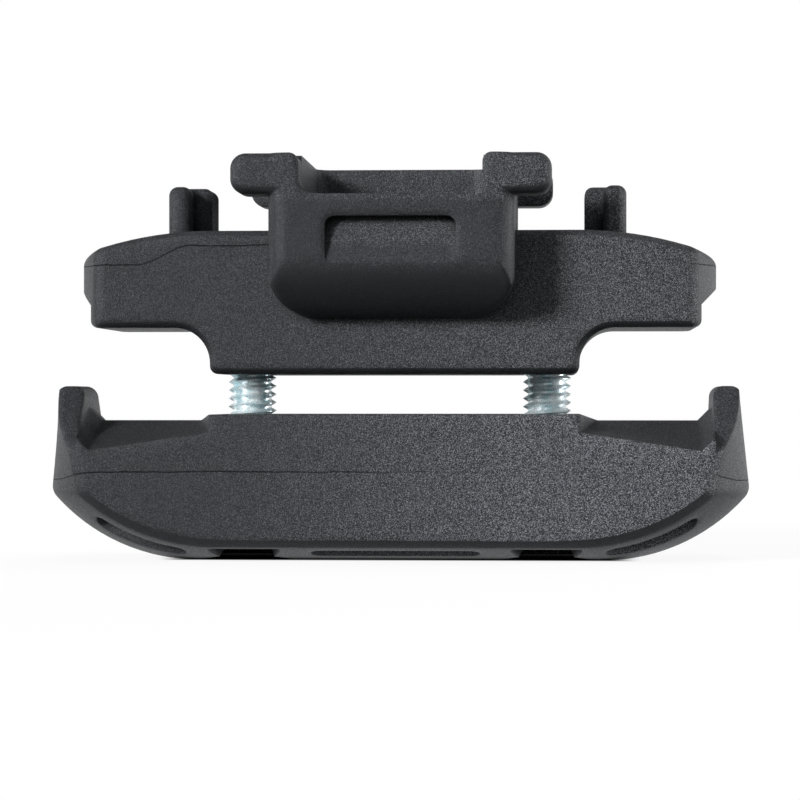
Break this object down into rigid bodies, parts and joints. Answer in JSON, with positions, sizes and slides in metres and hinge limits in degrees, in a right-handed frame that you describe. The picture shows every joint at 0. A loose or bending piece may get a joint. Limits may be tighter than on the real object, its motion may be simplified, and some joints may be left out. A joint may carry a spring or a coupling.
{
  "type": "saddle bag mount",
  "caption": "Two-piece moulded clamp for a bicycle saddle's rails, drawn together by screws, with an eared hook block and stop posts for a saddle bag.",
  "frame": {"origin": "centre of the flat strip under the rail clamp, midway between the screw axes", "axes": "+X across the saddle, +Y along the rails away from the hook block's front, +Z along the screws from the rail clamp to the bag hooks"},
  "size_m": [0.0858, 0.0315, 0.0485],
  "materials": {
    "moulded_plastic": "charcoal glass-filled nylon with a fine eroded grain",
    "zinc_steel": "bright zinc plate with a faint blue tint"
  },
  "bodies": {
    "rail_clamp": {"rail_clamp": "moulded_plastic", "nut_left": "zinc_steel", "nut_right": "zinc_steel"},
    "bag_carrier": {"bag_carrier": "moulded_plastic"},
    "screw_left": {"screw_left": "zinc_steel"},
    "screw_right": {"screw_right": "zinc_steel"}
  },
  "joints": [
    {"name": "clamp_slide", "type": "slide", "parent": "rail_clamp", "child": "bag_carrier", "axis": [0, 0, 1], "range_m": [-0.00415, 0.0035]},
    {"name": "screw_left_turn", "type": "hinge", "parent": "bag_carrier", "child": "screw_left", "pos_m": [-0.0182, 0, 0.0306], "axis": [0, 0, 1], "range_deg": [-1494.5, 1260.5]},
    {"name": "screw_right_turn", "type": "hinge", "parent": "bag_carrier", "child": "screw_right", "pos_m": [0.0182, 0, 0.0306], "axis": [0, 0, 1], "range_deg": [-1494.5, 1260.5]}
  ],
  "couplings": [
    {"joint": "screw_left_turn", "follows": "clamp_slide", "rad_per_m": 6283.2},
    {"joint": "screw_right_turn", "follows": "clamp_slide", "rad_per_m": 6283.2}
  ]
}
